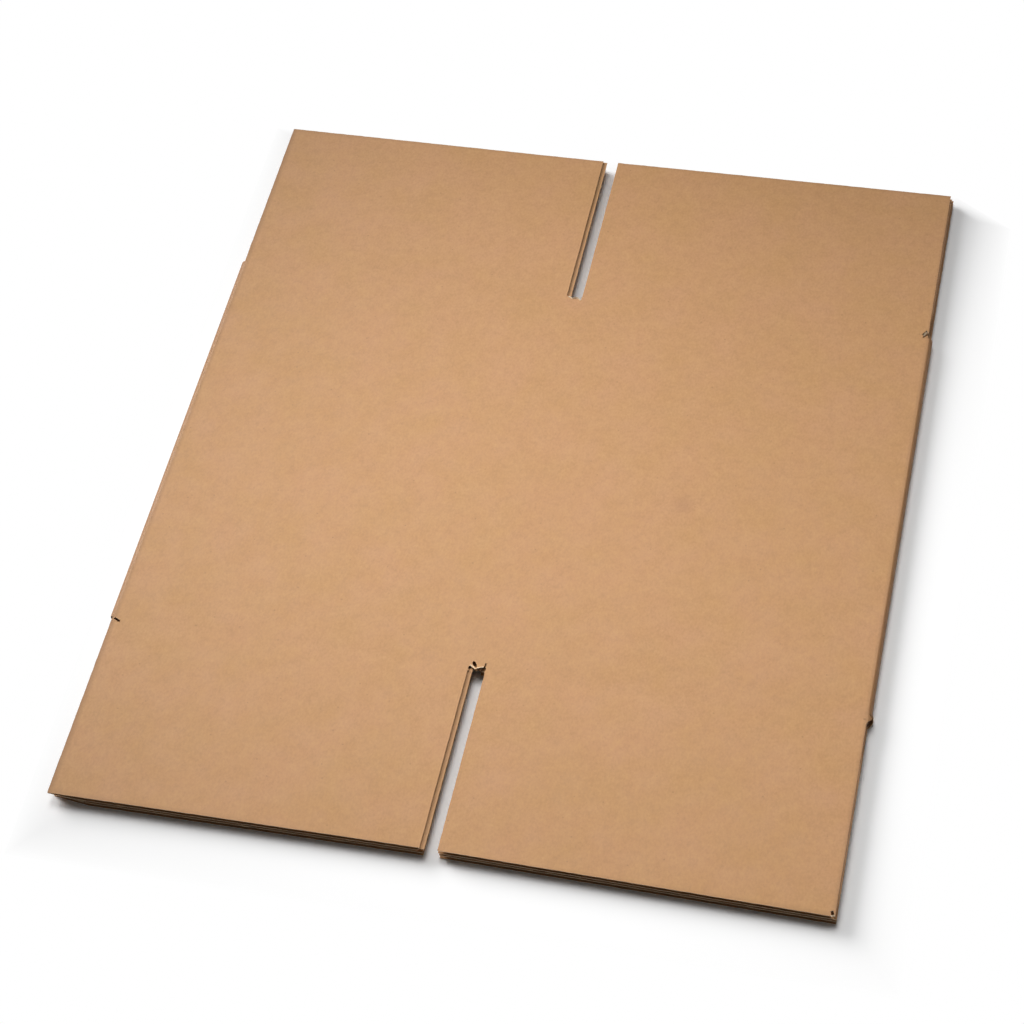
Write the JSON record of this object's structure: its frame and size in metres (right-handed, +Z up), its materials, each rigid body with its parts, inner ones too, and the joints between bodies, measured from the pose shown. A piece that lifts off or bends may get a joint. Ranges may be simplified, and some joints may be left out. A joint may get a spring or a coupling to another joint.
{
  "type": "flattened cardboard box",
  "caption": "Slotted shipping carton of single-wall corrugated board, glued and folded flat, with open slots between its end flaps.",
  "frame": {"origin": "middle of the underside, on the surface that the folded carton lies on", "axes": "+X across the flutes from the left fold to the right fold, +Y along the flutes towards the back flaps, +Z up through the thickness"},
  "size_m": [0.414, 0.4826, 0.007],
  "materials": {
    "corrugated_board": "plain brown kraft liner, matt, with faint paper fibre and open flutes at the cut edges"
  },
  "bodies": {
    "root": {"folded_blank": "corrugated_board"}
  },
  "joints": []
}
